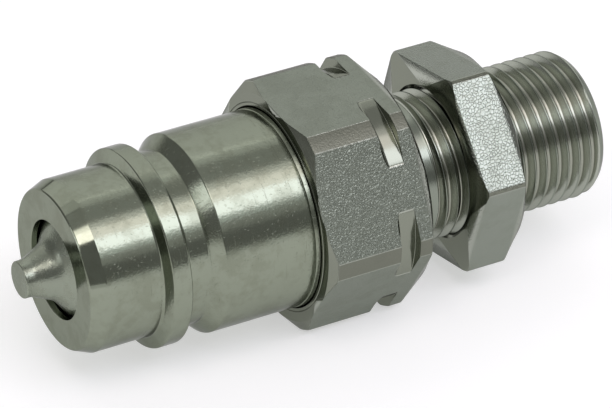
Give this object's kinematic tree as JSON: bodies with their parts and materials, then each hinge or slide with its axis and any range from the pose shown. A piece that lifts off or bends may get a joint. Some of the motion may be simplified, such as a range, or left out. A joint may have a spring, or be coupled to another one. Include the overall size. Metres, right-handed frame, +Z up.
{
  "type": "hydraulic quick coupling plug",
  "caption": "Poppet-type hydraulic quick coupling plug: nose with locking collar and groove, large hexagon, and bulkhead stub with lock nut and tube cone.",
  "frame": {"origin": "on the plug's axis, half way along the nose's sealing land, where the socket's seal closes on it", "axes": "+X along the axis from the nose to the tube end, +Z up out of one flat of the large hexagon, +Y to the left when looking from the nose along +X"},
  "size_m": [0.0724, 0.03, 0.027],
  "materials": {
    "plated_steel_turned": "turned, zinc plated",
    "plated_steel_hexagon": "drawn hexagon with a fine grain, zinc plated",
    "plated_steel_nut": "coarse grained flats, zinc plated",
    "poppet_steel": "turned, zinc plated",
    "spring_steel": "drawn wire",
    "guide_steel": "satin",
    "seal_rubber": "matte black",
    "backup_plastic": "smooth, off-white"
  },
  "bodies": {
    "housing": {"nose_body": "plated_steel_turned", "bulkhead_adapter": "plated_steel_hexagon", "valve_guide": "guide_steel", "guide_snap_ring": "spring_steel", "joint_o_ring": "seal_rubber", "joint_backup_ring": "backup_plastic", "valve_spring": "spring_steel"},
    "poppet": {"poppet_head": "poppet_steel", "poppet_seal": "seal_rubber", "poppet_stem": "poppet_steel"},
    "lock_nut": {"lock_nut": "plated_steel_nut"}
  },
  "joints": [
    {"name": "poppet_slide", "type": "slide", "parent": "housing", "child": "poppet", "axis": [1, 0, 0], "range_m": [0, 0.006], "stiffness_N_per_m": 3000, "springref_m": -0.008, "deforming": ["valve_spring"]},
    {"name": "lock_nut_travel", "type": "slide", "parent": "housing", "child": "lock_nut", "axis": [1, 0, 0], "range_m": [-0.00325, 0.01175]}
  ]
}
